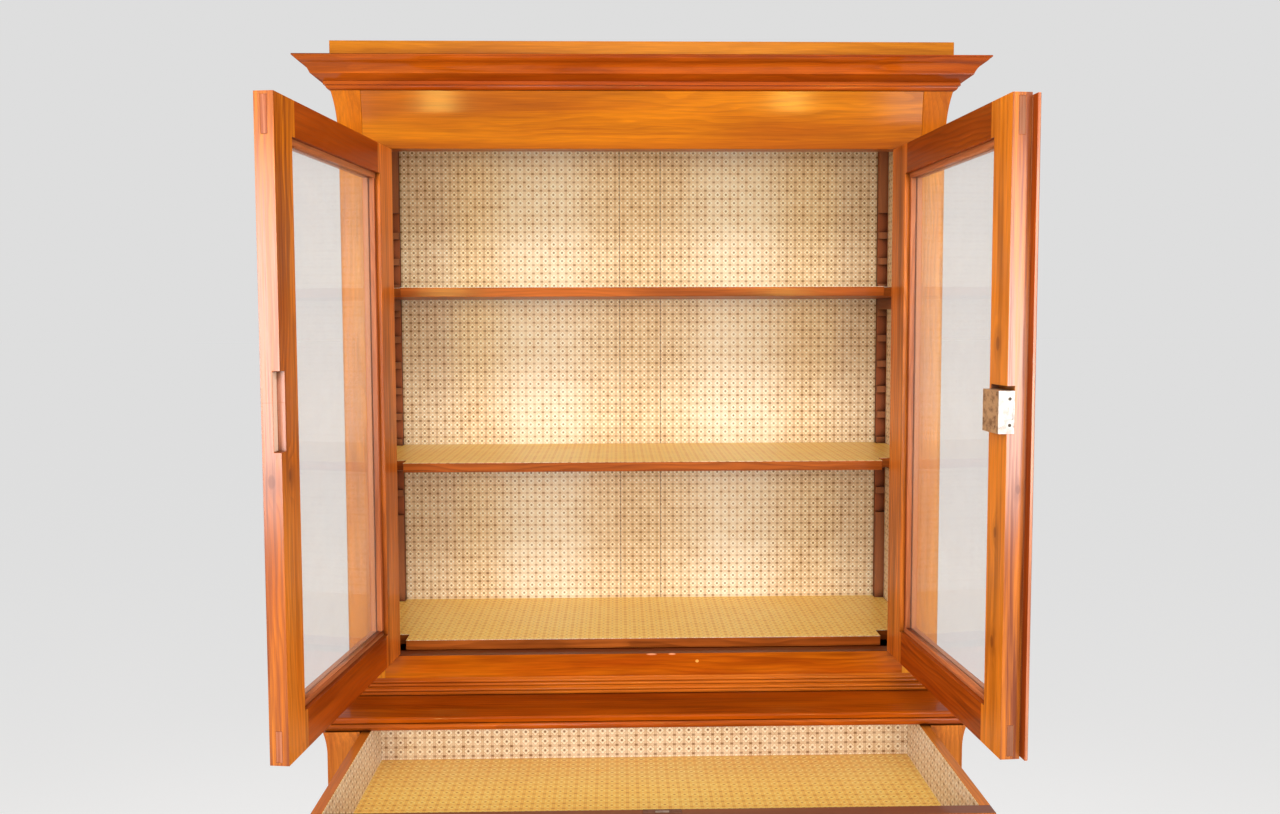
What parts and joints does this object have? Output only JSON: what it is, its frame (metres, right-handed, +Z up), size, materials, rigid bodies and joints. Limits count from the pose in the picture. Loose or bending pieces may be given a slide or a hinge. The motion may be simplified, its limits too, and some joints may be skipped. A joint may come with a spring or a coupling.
{
  "type": "hutch cabinet",
  "caption": "Two-body hutch cabinet: glazed upper case with open doors, shelves on toothed racks, coved frieze and cornice, over a deeper base with a wide drawer and framed doors.",
  "frame": {"origin": "on the floor at the middle of the base's footprint, under the plinth's middle bearer", "axes": "+Z up; -Y is the front, the way the doors face when shut; +X to the right seen from the front"},
  "size_m": [1.334, 0.9234, 2.2],
  "materials": {
    "varnished_wood": "glossy orange-brown varnish",
    "frieze_wood": "glossy orange-brown varnish",
    "door_wood": "satin varnish",
    "raw_wood": "unvarnished, aged",
    "dark_wood": "stained, dull",
    "lining_paper": "printed cane weave, matt",
    "pane_glass": "clear",
    "hinge_iron": "dull, browned",
    "lock_iron": "rusted brown",
    "lock_steel": "worn bright"
  },
  "bodies": {
    "cabinet": {"upper_side_boards": "varnished_wood", "upper_posts": "varnished_wood", "upper_top_board": "raw_wood", "upper_bottom_board": "varnished_wood", "upper_bottom_rail": "varnished_wood", "upper_base_moulding": "varnished_wood", "upper_back_boards": "raw_wood", "frieze_front": "frieze_wood", "frieze_corner_blocks": "frieze_wood", "frieze_side_boards": "frieze_wood", "cornice_moulding": "varnished_wood", "cap_boards": "varnished_wood", "glazed_shelves": "varnished_wood", "shelf_racks": "dark_wood", "shelf_bearers": "dark_wood", "upper_lining_paper": "lining_paper", "hinge_frame_halves": "hinge_iron", "base_side_boards": "varnished_wood", "base_posts": "varnished_wood", "base_top_board": "varnished_wood", "base_top_moulding": "varnished_wood", "base_bottom_board": "raw_wood", "base_back_boards": "raw_wood", "drawer_rail": "varnished_wood", "drawer_runners": "raw_wood", "base_shelf": "raw_wood", "plinth_boards": "varnished_wood"},
    "left_glass_door": {"left_glass_door_hinge_stile": "door_wood", "left_glass_door_meeting_stile": "door_wood", "left_glass_door_rails": "door_wood", "left_glass_door_pane": "pane_glass", "left_glass_door_beads": "door_wood", "left_glass_door_hinge_halves": "hinge_iron"},
    "right_glass_door": {"right_glass_door_hinge_stile": "door_wood", "right_glass_door_meeting_stile": "door_wood", "right_glass_door_rails": "door_wood", "right_glass_door_pane": "pane_glass", "right_glass_door_beads": "door_wood", "right_glass_door_hinge_halves": "hinge_iron", "astragal": "varnished_wood", "glass_door_lock_case": "lock_iron", "glass_door_lock_plate": "lock_steel"},
    "glass_door_bolt": {"glass_door_lock_bolt": "lock_steel"},
    "drawer": {"drawer_front": "varnished_wood", "drawer_sides": "raw_wood", "drawer_back": "raw_wood", "drawer_bottom": "raw_wood", "drawer_lining_paper": "lining_paper", "drawer_lock_case": "lock_iron"},
    "drawer_bolt": {"drawer_lock_bolt": "lock_steel"},
    "left_base_door": {"left_base_door_frame": "varnished_wood", "left_base_door_panel": "varnished_wood", "left_base_door_hinge_halves": "hinge_iron"},
    "right_base_door": {"right_base_door_frame": "varnished_wood", "right_base_door_panel": "varnished_wood", "right_base_door_hinge_halves": "hinge_iron", "base_door_lock_case": "lock_iron"},
    "base_door_bolt": {"base_door_lock_bolt": "lock_steel"}
  },
  "joints": [
    {"name": "left_glass_door_hinge", "type": "hinge", "parent": "cabinet", "child": "left_glass_door", "pos_m": [-0.5249, -0.1335, 1.487], "axis": [0, 0, -1], "range_deg": [-96.4, 63]},
    {"name": "right_glass_door_hinge", "type": "hinge", "parent": "cabinet", "child": "right_glass_door", "pos_m": [0.5249, -0.1335, 1.487], "axis": [0, 0, 1], "range_deg": [-94.1, 65]},
    {"name": "glass_door_bolt_slide", "type": "slide", "parent": "right_glass_door", "child": "glass_door_bolt", "axis": [0.0715, -0.9974, 0], "range_m": [0, 0.01]},
    {"name": "drawer_slide", "type": "slide", "parent": "cabinet", "child": "drawer", "axis": [0, -1, 0], "range_m": [-0.349, 0.03]},
    {"name": "drawer_bolt_slide", "type": "slide", "parent": "drawer", "child": "drawer_bolt", "axis": [0, 0, 1], "range_m": [0, 0.01]},
    {"name": "left_base_door_hinge", "type": "hinge", "parent": "cabinet", "child": "left_base_door", "pos_m": [-0.5469, -0.2525, 0.433], "axis": [0, 0, -1], "range_deg": [0, 110]},
    {"name": "right_base_door_hinge", "type": "hinge", "parent": "cabinet", "child": "right_base_door", "pos_m": [0.5469, -0.2525, 0.433], "axis": [0, 0, 1], "range_deg": [0, 110]},
    {"name": "base_door_bolt_slide", "type": "slide", "parent": "right_base_door", "child": "base_door_bolt", "axis": [-1, 0, 0], "range_m": [0, 0.01]}
  ]
}
